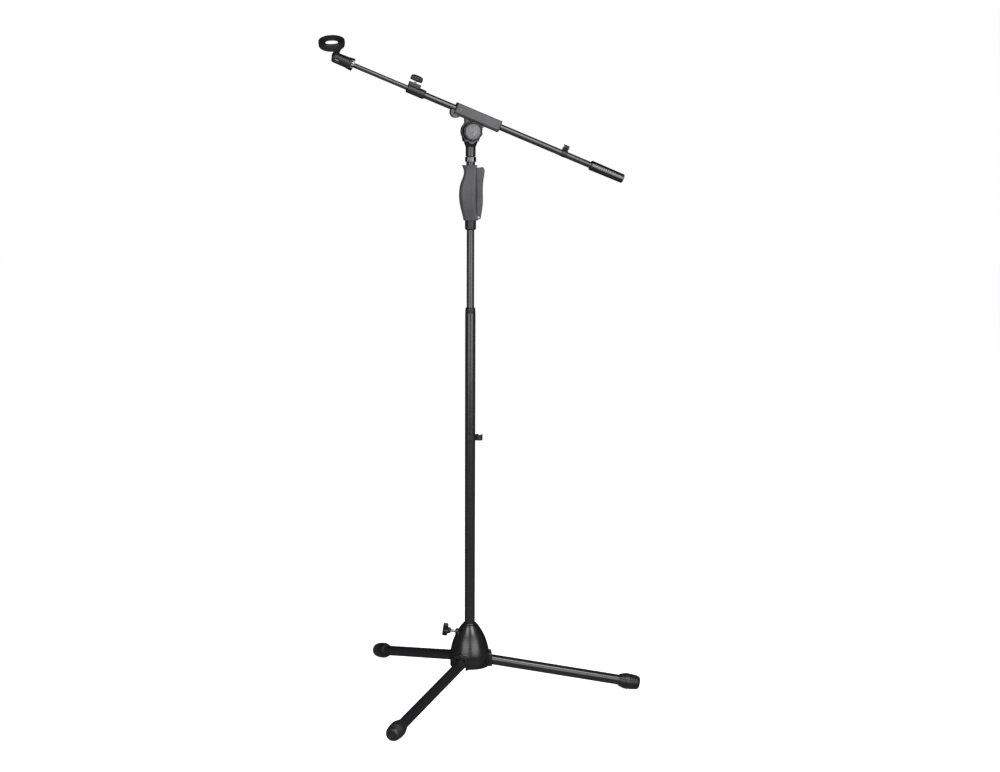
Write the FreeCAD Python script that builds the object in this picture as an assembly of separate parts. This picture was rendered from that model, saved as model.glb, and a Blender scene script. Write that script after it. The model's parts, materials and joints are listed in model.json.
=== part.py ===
import FreeCAD, Part
import math
import os

# Boom microphone stand. Millimetres. The origin is on the column's axis at floor level, +Z is up, +X is
# to the side that the boom's rear end points to, and +Y is towards the back.

# Legs and feet
LEG_COUNT = 3
LEG_FIRST_AZIMUTH = 6.0
LEG_SLOPE = 10.75
LEG_AXIS_HEIGHT = 82.5  # where the leg centre lines would meet the column's axis
PIVOT_RADIUS = 31.0
LEG_TUBE_R = 11.0
LEG_TUBE_WALL = 1.2
LEG_TUBE_START = 13.0  # along the leg, from its pivot
LEG_TUBE_END = 329.0
FOOT_START = 300.0
FOOT_LENGTH = 45.0
FOOT_R = 17.2
PIVOT_PIN_R = 3.0
SIDE_GAP = 0.4

# Bell-shaped base housing
BELL_BOTTOM = 62.0
BELL_CREASE = 89.0
BELL_TOP = 156.5
BELL_R = 42.0
DOME_ARC_R = 121.1
DOME_CENTRE_R = -78.6
DOME_CENTRE_Z = 77.9
BELL_WALL = 3.2
CORE_R = 16.0
FRAME_REACH = 47.0  # how far the frame round each leg slot stands out from the column's axis
FRAME_HALF_WIDTH = 15.0
FRAME_TOP = 92.0
KNOB_SCREW_AZIMUTH = 186.0
KNOB_SCREW_RISE = 8.5
KNOB_SCREW_HEIGHT = 133.1
KNOB_SCREW_R = 3.0

# Column
OUTER_TUBE_R = 11.0
OUTER_TUBE_BOTTOM = 66.0
OUTER_TUBE_TOP = 823.0
PLUG_FLANGE_R = 12.6
TUBE_WALL = 1.2
BUSH_TOP = 834.5
INNER_TUBE_R = 8.0
INNER_TUBE_BOTTOM = 420.0
INNER_TUBE_TOP = 1128.7
FIT = 0.06  # radial running clearance

# One-hand clutch
ROD_R = 3.0
ROD_TOP = 1034.0
COLLET_BOTTOM = 380.0
CROSS_PIN_Z = 1026.0
CROSS_PIN_R = 1.5
LEVER_PIN_X = 17.5
LEVER_PIN_Z = 1024.0
LEVER_PIN_R = 2.0

# Grip
GRIP_BOTTOM = 1017.0
GRIP_TOP = 1131.3
COLLAR_BOTTOM = 997.0
COLLAR_R = 11.7

# Threaded top: 5/8 inch stand thread
THREAD_R = 7.94
THREAD_BORE_R = 8.0
STUD_SHOULDER = 1137.7
STUD_TOP = 1161.0

# Head and tilt joint
TILT_HEIGHT = 1201.0
BOOM_YAW = 13.0
BOOM_DROP = 22.1  # the boom's rear end points this far below level
LUG_R = 21.0
LUG_HALF = 7.0
EAR_R = 18.4
EAR_INNER = 7.8
EAR_OUTER = 13.0
BOLT_R = 4.0
KNOB_R = 20.75
CAP_R = 16.0

# Boom; U runs along it, rearwards from the tilt axis, and W is square to it, upwards
BOOM_W = 32.0
BOOM_R = 6.75
BOOM_WALL = 1.15
BOOM_FRONT = -152.0
BOOM_REAR = 336.0
CLAMP_FRONT = -46.8
CLAMP_REAR = 51.2
CLAMP_HALF_HEIGHT = 12.0
CLAMP_HALF_WIDTH = 11.0
CLAMP_BEVEL = 4.0
CLAMP_END_LIP = 1.6
WEIGHT_START = 266.0
WEIGHT_END = 342.5
FRONT_TUBE_R = 5.0
FRONT_TUBE_WALL = 0.9
FRONT_TUBE_FRONT = -278.5
FRONT_TUBE_REAR = 20.0
LOCK_COLLAR_FRONT = -157.0
LOCK_COLLAR_REAR = -118.0
LOCK_COLLAR_R = 9.5
LOCK_SCREW_U = -145.5

# Microphone clip
CLIP_HINGE_U = -313.4
YOKE_TWIST = 27.0
YOKE_R = 11.3
YOKE_SLOT_HALF = 4.3
CLIP_LEAN = -25.3
CLIP_RING_X = -9.4
CLIP_RIM_Z = 39.6
CLIP_RING_R = 27.0
CLIP_HOLE_R = 12.5
CLIP_LIP_DEPTH = 5.0
CLIP_LIP = 1.2

# Cable clips
COLUMN_CLIP_Z = 558.5
COLUMN_CLIP_HEIGHT = 12.4
BOOM_CLIP_U = 202.3
BOOM_CLIP_LENGTH = 12.0
BOOM_HOOK_REACH = 19.2

X_AXIS = FreeCAD.Vector(1, 0, 0)
Y_AXIS = FreeCAD.Vector(0, 1, 0)
Z_AXIS = FreeCAD.Vector(0, 0, 1)
ORIGIN = FreeCAD.Vector(0, 0, 0)


def vector(x, y, z):
    return FreeCAD.Vector(x, y, z)


def save(name, shape):
    """Write one sub-part to its own STEP file."""
    solids = shape.Solids
    whole = solids[0] if len(solids) == 1 else Part.makeCompound(solids)
    if not whole.isValid():
        raise ValueError(name + " is not a valid solid")
    whole.exportStep(os.path.join("parts", name + ".step"))


def turned(outline):
    """The solid that a closed outline of (radius, height) points makes when it turns round the Z axis."""
    points = [vector(r, 0, z) for r, z in outline]
    face = Part.Face(Part.makePolygon(points + points[:1]))
    return face.revolve(ORIGIN, Z_AXIS, 360)


def ring(outer, inner, low, high):
    return turned([(inner, low), (outer, low), (outer, high), (inner, high)])


def rod(radius, low, high):
    return Part.makeCylinder(radius, high - low, vector(0, 0, low), Z_AXIS)


def cross_rod(radius, x, z, y0, y1):
    """A cylinder that lies along Y."""
    return Part.makeCylinder(radius, y1 - y0, vector(x, y0, z), Y_AXIS)


def box(x0, x1, y0, y1, z0, z1):
    return Part.makeBox(x1 - x0, y1 - y0, z1 - z0, vector(x0, y0, z0))


def plate(outline, y0, y1):
    """A flat plate with an outline of (x, z) points, from y0 to y1."""
    points = [vector(x, y0, z) for x, z in outline]
    return Part.Face(Part.makePolygon(points + points[:1])).extrude(vector(0, y1 - y0, 0))


def fused(*shapes):
    return shapes[0].fuse(list(shapes[1:])).removeSplitter()


def turn(shape, axis, degrees, centre=ORIGIN):
    copy = shape.copy()
    copy.rotate(centre, axis, degrees)
    return copy


def move(shape, x, y, z):
    copy = shape.copy()
    copy.translate(vector(x, y, z))
    return copy


def around(shape, count, axis=Z_AXIS, centre=ORIGIN, first=0.0):
    """Equally spaced copies of a shape round an axis."""
    return [turn(shape, axis, first + 360.0 * i / count, centre) for i in range(count)]


def along_x(shape):
    """Lay a shape that was turned round Z along X, so that its Z becomes +X."""
    return turn(shape, Y_AXIS, 90)


def rounded_section(z, left, right, half_depth, corner):
    """A level rounded rectangle, as a closed wire."""
    k = corner * math.sqrt(0.5)
    corners = []
    for sx, sy in ((1, -1), (1, 1), (-1, 1), (-1, -1)):
        cx = right - corner if sx > 0 else left + corner
        cy = sy * (half_depth - corner)
        ends = [vector(cx + sx * corner, cy, z), vector(cx, cy + sy * corner, z)]
        if sx * sy > 0:
            start, end = ends
        else:
            end, start = ends
        corners.append((start, vector(cx + sx * k, cy + sy * k, z), end))
    edges = []
    for i, (start, middle, end) in enumerate(corners):
        if i:
            edges.append(Part.LineSegment(corners[i - 1][2], start).toShape())
        edges.append(Part.Arc(start, middle, end).toShape())
    edges.append(Part.LineSegment(corners[-1][2], corners[0][0]).toShape())
    return Part.Wire(edges)


def loft(sections, corner):
    """A smooth solid through level rounded rectangles, each given as (z, left, right, half depth)."""
    wires = [rounded_section(z, left, right, half, corner * half) for z, left, right, half in sections]
    return Part.makeLoft(wires, True, False)


def helix_spring(coil_r, wire_r, low, high, turns):
    path = Part.makeHelix((high - low - 2 * wire_r) / turns, high - low - 2 * wire_r, coil_r)
    profile = Part.Wire(Part.makeCircle(wire_r, vector(coil_r, 0, 0), Y_AXIS))
    return move(Part.Wire(path).makePipeShell([profile], True, True), 0, 0, low + wire_r)


def on_leg(shape, index):
    """Place a shape made along +X from a pivot at the origin as leg number index."""
    tilted = turn(shape, Y_AXIS, LEG_SLOPE)
    raised = move(tilted, PIVOT_RADIUS, 0, PIVOT_HEIGHT)
    return turn(raised, Z_AXIS, leg_azimuth(index))


def leg_azimuth(index):
    return LEG_FIRST_AZIMUTH + 360.0 * index / LEG_COUNT


def on_knob_screw(shape):
    """Place a shape made along +X as the base's thumbscrew."""
    raised = move(turn(shape, Y_AXIS, -KNOB_SCREW_RISE), 0, 0, KNOB_SCREW_HEIGHT)
    return turn(raised, Z_AXIS, KNOB_SCREW_AZIMUTH)


def on_head(shape):
    """Place a shape made about the tilt centre as part of the head, which is turned with the boom."""
    return move(turn(shape, Z_AXIS, BOOM_YAW), 0, 0, TILT_HEIGHT)


def on_boom(shape):
    """Place a shape made in the boom's U (x) and W (z) directions about the tilt centre."""
    return on_head(turn(shape, Y_AXIS, BOOM_DROP))


def on_boom_axis(shape):
    """Place a shape made along X on the boom's own centre line."""
    return on_boom(move(shape, 0, 0, BOOM_W))


def on_yoke(shape):
    """Place a shape made about the clip's hinge, with x along the boom and y along the hinge."""
    return on_boom_axis(move(turn(shape, X_AXIS, YOKE_TWIST), CLIP_HINGE_U, 0, 0))


def on_clip(shape):
    """Place a shape made about the clip's hinge, with z along the clip's bore."""
    return on_yoke(turn(shape, Y_AXIS, CLIP_LEAN))


PIVOT_HEIGHT = LEG_AXIS_HEIGHT - PIVOT_RADIUS * math.tan(math.radians(LEG_SLOPE))


# ---- Base ----

def bell_region(inset, bottom, top):
    """The bell's outer shape, or its cavity when it is inset, as one turned solid."""
    radius = DOME_ARC_R - inset
    chamfer = 1.2

    def dome(z):
        return DOME_CENTRE_R + math.sqrt(radius ** 2 - (z - DOME_CENTRE_Z) ** 2)

    start = vector(dome(BELL_CREASE), 0, BELL_CREASE)
    foot = vector(start.x, 0, bottom + chamfer)
    middle = vector(dome((BELL_CREASE + top) / 2), 0, (BELL_CREASE + top) / 2)
    end = vector(dome(top), 0, top)
    edges = [
        Part.LineSegment(vector(0, 0, bottom), vector(start.x - chamfer, 0, bottom)).toShape(),
        Part.LineSegment(vector(start.x - chamfer, 0, bottom), foot).toShape(),
        Part.LineSegment(foot, start).toShape(),
        Part.Arc(start, middle, end).toShape(),
        Part.LineSegment(end, vector(0, 0, top)).toShape(),
        Part.LineSegment(vector(0, 0, top), vector(0, 0, bottom)).toShape(),
    ]
    return Part.Face(Part.Wire(edges)).revolve(ORIGIN, Z_AXIS, 360)


def slot_frame():
    """The raised frame round a leg slot, with a rounded ear on top, along +X."""
    corner = 4.0
    ear_r = 4.0
    skirt = BELL_R - BELL_WALL
    body = box(skirt, FRAME_REACH, -FRAME_HALF_WIDTH, FRAME_HALF_WIDTH, BELL_BOTTOM, FRAME_TOP)
    top_edges = [e for e in body.Edges if e.BoundBox.ZMin > FRAME_TOP - 1 and e.BoundBox.YLength < 1]
    body = body.makeFillet(corner, top_edges)
    ear = Part.makeCylinder(ear_r, FRAME_REACH - BELL_R + 1, vector(BELL_R - 1, 0, FRAME_TOP), X_AXIS)
    return fused(body, ear)


def leg_slot():
    """The space that a leg and its knuckle need, at rest and as they fold down."""
    half = LEG_TUBE_R + SIDE_GAP
    play = 0.5
    knuckle = cross_rod(LEG_TUBE_R + play, PIVOT_RADIUS, PIVOT_HEIGHT, -half, half)
    inner = PIVOT_RADIUS - LEG_TUBE_R - play
    below = box(inner, FRAME_REACH + 5, -half, half, BELL_BOTTOM - 5, PIVOT_HEIGHT)
    outward = box(0, 30, -half, half, -LEG_TUBE_R - play, LEG_TUBE_R + play)
    outward = move(turn(outward, Y_AXIS, LEG_SLOPE), PIVOT_RADIUS, 0, PIVOT_HEIGHT)
    return fused(knuckle, below, outward)


def base_housing():
    cavity_top = 126.0
    cheek_inner = LEG_TUBE_R + SIDE_GAP
    cheek_outer = cheek_inner + 3.0
    cheek_top = 100.0
    pin_boss_r = 5.5
    pin_recess_r = 3.3
    dome_top = 153.3
    outer = bell_region(0, BELL_BOTTOM, dome_top)
    shell = outer.cut(bell_region(BELL_WALL, BELL_BOTTOM - 5, cavity_top))
    rim = turned([(10, 150), (14.6, 150), (14.6, 155.6), (13.7, BELL_TOP), (10, BELL_TOP)])
    core = rod(CORE_R, BELL_BOTTOM + 2, cavity_top + 1)
    screw_boss = on_knob_screw(Part.makeCylinder(6.5, 19, vector(12, 0, 0), X_AXIS))
    additions = [rim, core, screw_boss]
    cuts = []
    for i in range(LEG_COUNT):
        cheek = box(CORE_R - 3, BELL_R, cheek_inner, cheek_outer, BELL_BOTTOM + 2, cheek_top)
        other_cheek = move(cheek, 0, -cheek_inner - cheek_outer, 0)
        boss = cross_rod(pin_boss_r, PIVOT_RADIUS, PIVOT_HEIGHT, -BELL_R, -cheek_inner)
        inside = fused(cheek, other_cheek, boss)
        azimuth = leg_azimuth(i)
        additions.append(turn(inside, Z_AXIS, azimuth).common(outer))
        additions.append(turn(slot_frame(), Z_AXIS, azimuth))
        pin_hole = cross_rod(PIVOT_PIN_R, PIVOT_RADIUS, PIVOT_HEIGHT, -cheek_outer - 1, cheek_outer + 1)
        recess = cross_rod(pin_recess_r, PIVOT_RADIUS, PIVOT_HEIGHT, -BELL_R, -cheek_outer)
        cuts.extend(turn(c, Z_AXIS, azimuth) for c in (pin_hole, recess, leg_slot()))
    cuts.append(rod(OUTER_TUBE_R + FIT, 0, 200))
    cuts.append(rod(PLUG_FLANGE_R + 0.5, 0, BELL_BOTTOM + 31))
    cuts.append(on_knob_screw(Part.makeCylinder(KNOB_SCREW_R + FIT, 40, vector(5, 0, 0), X_AXIS)))
    return shell.fuse(additions).cut(cuts).removeSplitter()


def leg_pivot_pins():
    reach = LEG_TUBE_R + SIDE_GAP + 3.0
    pin = cross_rod(PIVOT_PIN_R, PIVOT_RADIUS, PIVOT_HEIGHT, -reach, reach)
    return Part.makeCompound([turn(pin, Z_AXIS, leg_azimuth(i)) for i in range(LEG_COUNT)])


def base_knob():
    """A three-armed star knob with a hub, along +X from the bell outwards."""
    hub_start, arm_start, arm_end = 41.5, 47.5, 58.5
    arm_centre, arm_r = 9.5, 5.6
    hub = turned([(0, hub_start), (5.6, hub_start), (6.6, hub_start + 1), (6.6, arm_start + 1),
                  (0, arm_start + 1)])
    disc = turned([(0, arm_start), (7.5, arm_start), (8.5, arm_start + 1), (8.5, arm_end - 2),
                   (5.5, arm_end), (0, arm_end)])
    arm = move(turned([(0, arm_start), (arm_r - 1, arm_start), (arm_r, arm_start + 1), (arm_r, arm_end - 2),
                       (arm_r - 1.5, arm_end - 0.5), (0, arm_end - 0.5)]), 0, arm_centre, 0)
    knob = fused(hub, disc, *around(arm, 3))
    knob = knob.cut(rod(KNOB_SCREW_R, hub_start - 1, arm_end - 6))
    return on_knob_screw(along_x(knob))


def base_knob_screw():
    tip = 11.8
    screw = turned([(0, tip), (2.2, tip), (KNOB_SCREW_R, tip + 0.8), (KNOB_SCREW_R, 52.5), (0, 52.5)])
    return on_knob_screw(along_x(screw))


# ---- Legs ----

def leg_knuckle():
    """A solid hinge block with a rounded heel and a spigot that is pressed into the leg tube."""
    half = LEG_TUBE_R
    heel = cross_rod(LEG_TUBE_R, 0, 0, -half, half)
    block = box(0, LEG_TUBE_START, -half, half, -LEG_TUBE_R, LEG_TUBE_R)
    round_block = Part.makeCylinder(LEG_TUBE_R, LEG_TUBE_START, ORIGIN, X_AXIS)
    block = block.common(fused(round_block, box(-1, 6, -half, half, -LEG_TUBE_R, LEG_TUBE_R)))
    spigot = Part.makeCylinder(LEG_TUBE_R - LEG_TUBE_WALL, 22, vector(LEG_TUBE_START - 1, 0, 0), X_AXIS)
    knuckle = fused(heel, block, spigot)
    return knuckle.cut(cross_rod(PIVOT_PIN_R + FIT, 0, 0, -half - 1, half + 1))


def leg_tube():
    return along_x(ring(LEG_TUBE_R, LEG_TUBE_R - LEG_TUBE_WALL, LEG_TUBE_START, LEG_TUBE_END))


def foot():
    """A rubber boot with three grip rings and a stepped end, bored for the leg tube."""
    s = FOOT_START
    end = FOOT_START + FOOT_LENGTH
    outline = [(LEG_TUBE_R, s), (13.4, s), (14.0, s + 0.8), (14.3, s + 3), (FOOT_R, s + 13),
               (FOOT_R, s + 21)]
    taper_r = FOOT_R
    for i in range(3):
        at = s + 23 + 5.2 * i
        outline += [(taper_r - 0.5, at), (taper_r - 0.5, at + 1.2), (taper_r, at + 1.8),
                    (taper_r - 0.3, at + 4)]
        taper_r -= 0.65
    outline += [(13.6, end - 2.4), (12.6, end - 0.7), (11.0, end), (4.2, end), (4.2, end - 0.6),
                (3.0, end - 0.6), (3.0, end - 0.2), (0, end - 0.2), (0, LEG_TUBE_END),
                (LEG_TUBE_R, LEG_TUBE_END)]
    return along_x(turned(outline))


def standing(shape):
    """Flatten what would reach below the floor."""
    reach = 2000
    return shape.cut(box(-reach, reach, -reach, reach, -50, 0))


# ---- Column ----

def guide_bush():
    inner = INNER_TUBE_R + FIT
    spigot_r = OUTER_TUBE_R - TUBE_WALL
    collar_r = 10.6
    return turned([(inner, OUTER_TUBE_TOP - 28), (spigot_r, OUTER_TUBE_TOP - 28), (spigot_r, OUTER_TUBE_TOP),
                   (collar_r, OUTER_TUBE_TOP), (collar_r, BUSH_TOP - 1.6), (collar_r - 1.6, BUSH_TOP),
                   (inner, BUSH_TOP)])


def outer_tube_plug():
    spigot_r = OUTER_TUBE_R - TUBE_WALL
    z = OUTER_TUBE_BOTTOM
    return turned([(4, z - 3), (PLUG_FLANGE_R, z - 3), (PLUG_FLANGE_R, z), (spigot_r, z), (spigot_r, z + 16),
                   (4, z + 16)])


def inner_tube():
    tube = ring(INNER_TUBE_R, INNER_TUBE_R - TUBE_WALL, INNER_TUBE_BOTTOM, INNER_TUBE_TOP)
    slot_half = CROSS_PIN_R + 0.3
    window = box(-slot_half, slot_half, -10, 10, CROSS_PIN_Z - 4.5, CROSS_PIN_Z + 2.5)
    return tube.cut(window)


# ---- Clutch ----

def clutch_collet():
    """A split collet whose jaws are spread from below by the cone."""
    jaw_r = OUTER_TUBE_R - TUBE_WALL - 0.1
    spigot_r = INNER_TUBE_R - TUBE_WALL
    low, seat = COLLET_BOTTOM, INNER_TUBE_BOTTOM
    bore = ROD_R + 0.3
    body = turned([(8.2, low), (jaw_r, low), (jaw_r, seat - 4), (INNER_TUBE_R, seat), (spigot_r, seat),
                   (spigot_r, seat + 20), (bore, seat + 20), (bore, low + 22)])
    slot = box(0, 15, -0.8, 0.8, low - 1, low + 26)
    return body.cut(around(slot, 4, first=45))


def clutch_cone():
    low = COLLET_BOTTOM - 8
    cone = turned([(0, low), (8.6, low), (8.6, low + 3), (7.2, low + 10), (4.2, low + 24), (0, low + 24)])
    return cone.cut(rod(ROD_R, low + 10, low + 30))


def clutch_rod():
    low = COLLET_BOTTOM + 2
    collar_z = INNER_TUBE_BOTTOM + 60
    shaft = rod(ROD_R, low, ROD_TOP)
    collar = ring(6.2, 0.5, collar_z, collar_z + 4)
    return fused(shaft, collar).cut(cross_rod(CROSS_PIN_R, 0, CROSS_PIN_Z, -10, 10))


def clutch_spring():
    return helix_spring(4.9, 0.7, INNER_TUBE_BOTTOM + 20, INNER_TUBE_BOTTOM + 60, 8)


def cross_pin():
    return cross_rod(CROSS_PIN_R, 0, CROSS_PIN_Z, -10.5, 10.5)


# ---- Grip ----

GRIP_SEAM = 15.0
GRIP_SECTIONS = (
    (GRIP_BOTTOM, -14.6, 15.6, 14.0),
    (1026.0, -16.4, 16.4, 15.0),
    (1045.0, -21.2, GRIP_SEAM, 17.0),
    (1065.0, -23.9, GRIP_SEAM, 18.0),
    (1082.0, -23.3, GRIP_SEAM, 18.0),
    (1100.0, -18.6, GRIP_SEAM, 16.4),
    (1114.0, -14.2, GRIP_SEAM, 15.0),
    (1123.0, -14.8, GRIP_SEAM, 15.0),
    (GRIP_TOP, -18.6, GRIP_SEAM - 0.8, 16.4),
)
LEVER_SECTIONS = (
    (1019.8, 12.5, 19.6, 8.4),
    (1024.0, 10.4, 21.4, 10.3),
    (1034.0, 10.4, 23.4, 10.5),
    (1046.0, 8.6, 25.1, 10.5),
    (1062.0, 8.0, 25.8, 10.5),
    (1090.0, 8.0, 25.8, 10.5),
    (1106.0, 8.0, 27.6, 10.5),
    (1118.0, 8.0, 29.0, 10.5),
    (1125.0, 9.5, 27.6, 9.8),
    (1127.6, 12.0, 24.0, 8.0),
)
GRIP_CORNER = 0.62
LEVER_CORNER = 0.38
LEVER_CHEEK_INNER = 8.5
LEVER_POCKET_HALF = 11.0
GRIP_SCREWS = ((-12.5, 1036.0), (-16.0, 1073.0), (-11.5, 1111.0))


def grip_body():
    """The whole handle before it is split, with the lever's pocket cut into its right side."""
    pocket_bottom, pocket_top = 1018.6, 1128.6
    body = loft(GRIP_SECTIONS, GRIP_CORNER)
    ears = cross_rod(4.6, LEVER_PIN_X, LEVER_PIN_Z, -13.6, 13.6)
    web = box(8, LEVER_PIN_X, -13.6, 13.6, LEVER_PIN_Z - 4.6, LEVER_PIN_Z + 4.6)
    cuts = [
        box(-7, 45, -LEVER_POCKET_HALF, -INNER_TUBE_R / 2, pocket_bottom, pocket_top),
        box(-7, 45, INNER_TUBE_R / 2, LEVER_POCKET_HALF, pocket_bottom, pocket_top),
        box(0, 45, -LEVER_POCKET_HALF, LEVER_POCKET_HALF, pocket_bottom, pocket_top),
        rod(INNER_TUBE_R, GRIP_BOTTOM - 5, INNER_TUBE_TOP),
        rod(9.3, INNER_TUBE_TOP, GRIP_TOP + 5),
        cross_rod(LEVER_PIN_R, LEVER_PIN_X, LEVER_PIN_Z, -20, 20),
    ]
    return fused(body, ears, web).cut(cuts)


def screw_at(x, z, shank_r, head_r, tip, seat, end):
    """A pan-head screw along Y, driven in from the back."""
    return fused(cross_rod(shank_r, x, z, tip, seat), cross_rod(head_r, x, z, seat, end))


def grip_halves():
    body = grip_body()
    room = 60
    front = body.common(box(-room, room, -room, 0, 900, 1200))
    back = body.common(box(-room, room, 0, room, 900, 1200))
    for x, z in GRIP_SCREWS:
        front = front.cut(cross_rod(1.5, x, z, -8, 1))
        back = back.cut([cross_rod(1.5, x, z, -1, 9), cross_rod(3.0, x, z, 8, 30)])
    return front, back


def grip_screws():
    return Part.makeCompound([screw_at(x, z, 1.5, 2.9, -8, 8, 10.4) for x, z in GRIP_SCREWS])


def grip_lever():
    """A channel-shaped lever that straddles the inner tube, with two arms that reach the cross pin."""
    lever = loft(LEVER_SECTIONS, LEVER_CORNER)
    inside = [(-5, 1036), (20, 1036), (22.4, 1062), (22.4, 1090), (24.2, 1106), (25.0, 1118), (20, 1131),
              (-5, 1131)]
    channel = plate(inside, -LEVER_CHEEK_INNER, LEVER_CHEEK_INNER)
    arms = [box(-4, 14, y, y + 2.0, 1022, 1031) for y in (-LEVER_CHEEK_INNER - 2.0, LEVER_CHEEK_INNER)]
    slot_r = CROSS_PIN_R + 0.12
    slot = [cross_rod(slot_r, x, CROSS_PIN_Z, -12, 12) for x in (-0.7, 0.7)]
    slot.append(box(-0.7, 0.7, -12, 12, CROSS_PIN_Z - slot_r, CROSS_PIN_Z + slot_r))
    pin_hole = cross_rod(LEVER_PIN_R + FIT, LEVER_PIN_X, LEVER_PIN_Z, -15, 15)
    return fused(lever, *arms).cut([channel, pin_hole] + slot)


def lever_pin():
    return cross_rod(LEVER_PIN_R, LEVER_PIN_X, LEVER_PIN_Z, -14.4, 14.4)


def grip_collar():
    return turned([(INNER_TUBE_R, COLLAR_BOTTOM), (COLLAR_R - 2, COLLAR_BOTTOM),
                   (COLLAR_R, COLLAR_BOTTOM + 2), (COLLAR_R, GRIP_BOTTOM), (INNER_TUBE_R, GRIP_BOTTOM)])


# ---- Threaded top and head ----

def top_insert():
    spigot_r = INNER_TUBE_R - TUBE_WALL
    return turned([(0, INNER_TUBE_TOP - 27), (spigot_r, INNER_TUBE_TOP - 27), (spigot_r, INNER_TUBE_TOP),
                   (9.3, INNER_TUBE_TOP), (9.3, STUD_SHOULDER), (THREAD_R, STUD_SHOULDER),
                   (THREAD_R, STUD_TOP - 1), (THREAD_R - 1, STUD_TOP), (0, STUD_TOP)])


def notched_ring(outer, low, high, notch_r, notches):
    """A threaded lock ring with finger notches round its edge."""
    edge = 0.8
    body = turned([(THREAD_BORE_R, low), (outer - edge, low), (outer, low + edge), (outer, high - edge),
                   (outer - edge, high), (THREAD_BORE_R, high)])
    notch = Part.makeCylinder(notch_r, high - low + 2, vector(outer + notch_r * 0.4, 0, low - 1), Z_AXIS)
    return body.cut(around(notch, notches))


def top_lock_ring():
    return notched_ring(11.9, 1138.2, 1148.4, 1.6, 10)


def head_fork():
    """A threaded socket that widens into two round ears."""
    low = 1149.0 - TILT_HEIGHT
    bore_top = 1163.0 - TILT_HEIGHT
    socket = turned([(0, low), (9.7, low), (10.5, low + 0.8), (10.5, -32), (15, -21), (15, -17), (0, -17)])
    root = socket.common(box(-20, 20, -EAR_OUTER, EAR_OUTER, low, 0))
    ears = []
    for y0, y1 in ((-EAR_OUTER, -EAR_INNER), (EAR_INNER, EAR_OUTER)):
        disc = cross_rod(EAR_R, 0, 0, y0, y1)
        neck = plate([(-15, -21), (15, -21), (EAR_R - 0.6, -4), (-EAR_R + 0.6, -4)], y0, y1)
        ears += [disc, neck]
    nut_boss = cross_rod(9.5, 0, 0, EAR_OUTER, EAR_OUTER + 6)
    slot = box(-30, 30, -EAR_INNER, EAR_INNER, -LUG_R - 0.6, 30)
    bolt_hole = cross_rod(BOLT_R + FIT, 0, 0, -30, 30)
    threads = rod(THREAD_BORE_R, low - 1, bore_top)
    fork = fused(root, nut_boss, *ears)
    return fork.cut([slot, bolt_hole, threads, hexagon(6.5, EAR_OUTER + 0.5, EAR_OUTER + 8)])


def hexagon(half_flats, y0, y1):
    corner = half_flats / math.cos(math.radians(30))
    angles = [math.radians(60 * i) for i in range(6)]
    return plate([(corner * math.cos(a), corner * math.sin(a)) for a in angles], y0, y1)


def tilt_nut():
    return hexagon(6.5, EAR_OUTER + 0.5, EAR_OUTER + 6.5).cut(cross_rod(BOLT_R + FIT, 0, 0, 0, 30))


def friction_washers():
    front = cross_rod(14, 0, 0, -EAR_INNER, -LUG_HALF - 0.2)
    back = cross_rod(14, 0, 0, LUG_HALF + 0.2, EAR_INNER)
    hole = cross_rod(BOLT_R + FIT, 0, 0, -30, 30)
    return Part.makeCompound([front.cut(hole), back.cut(hole)])


def tilt_bolt():
    return cross_rod(BOLT_R, 0, 0, -24, EAR_OUTER + 8)


def tilt_knob():
    """A scalloped hand knob on the viewer's side, turned round the tilt axis."""
    near, far = 13.4, 26.5
    scallop_r, scallops = 3.4, 10
    body = turned([(0, near), (KNOB_R - 2, near), (KNOB_R, near + 2), (KNOB_R, far - 3),
                   (KNOB_R - 1.2, far - 1), (KNOB_R - 3, far), (CAP_R + 0.2, far),
                   (CAP_R + 0.2, far - 2), (0, far - 2)])
    cutter = Part.makeCylinder(scallop_r, 30, vector(KNOB_R + 1.9, 0, near - 5), Z_AXIS)
    body = body.cut(around(cutter, scallops) + [rod(BOLT_R, near - 1, 24)])
    return turn(body, X_AXIS, 90)


def tilt_knob_cap():
    near, top = 24.5, 29.2
    sphere_r = (CAP_R ** 2 + (top - near - 1) ** 2) / (2 * (top - near - 1))
    ball = Part.makeSphere(sphere_r, vector(0, 0, top - sphere_r))
    return turn(rod(CAP_R, near, top + 1).common(ball), X_AXIS, 90)


# ---- Boom ----

def bevelled_bar(u0, u1, grow=0.0):
    """A bar along U with bevelled long edges, centred on the boom's own axis."""
    h, w, b = CLAMP_HALF_HEIGHT + grow, CLAMP_HALF_WIDTH + grow, CLAMP_BEVEL
    section = [(-w, -h + b), (-w + b / 2, -h), (w - b / 2, -h), (w, -h + b), (w, h - b / 2),
               (w - b / 2, h), (-w + b / 2, h), (-w, h - b / 2)]
    points = [vector(u0, y, z) for y, z in section]
    return Part.Face(Part.makePolygon(points + points[:1])).extrude(vector(u1 - u0, 0, 0))


LUG_TEETH = 60
PINCH_U = -44.5
PINCH_W = 24.3
PINCH_R = 11.7
PINCH_BOLT_W = 18.6
SET_SCREW_U = -37.5


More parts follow.
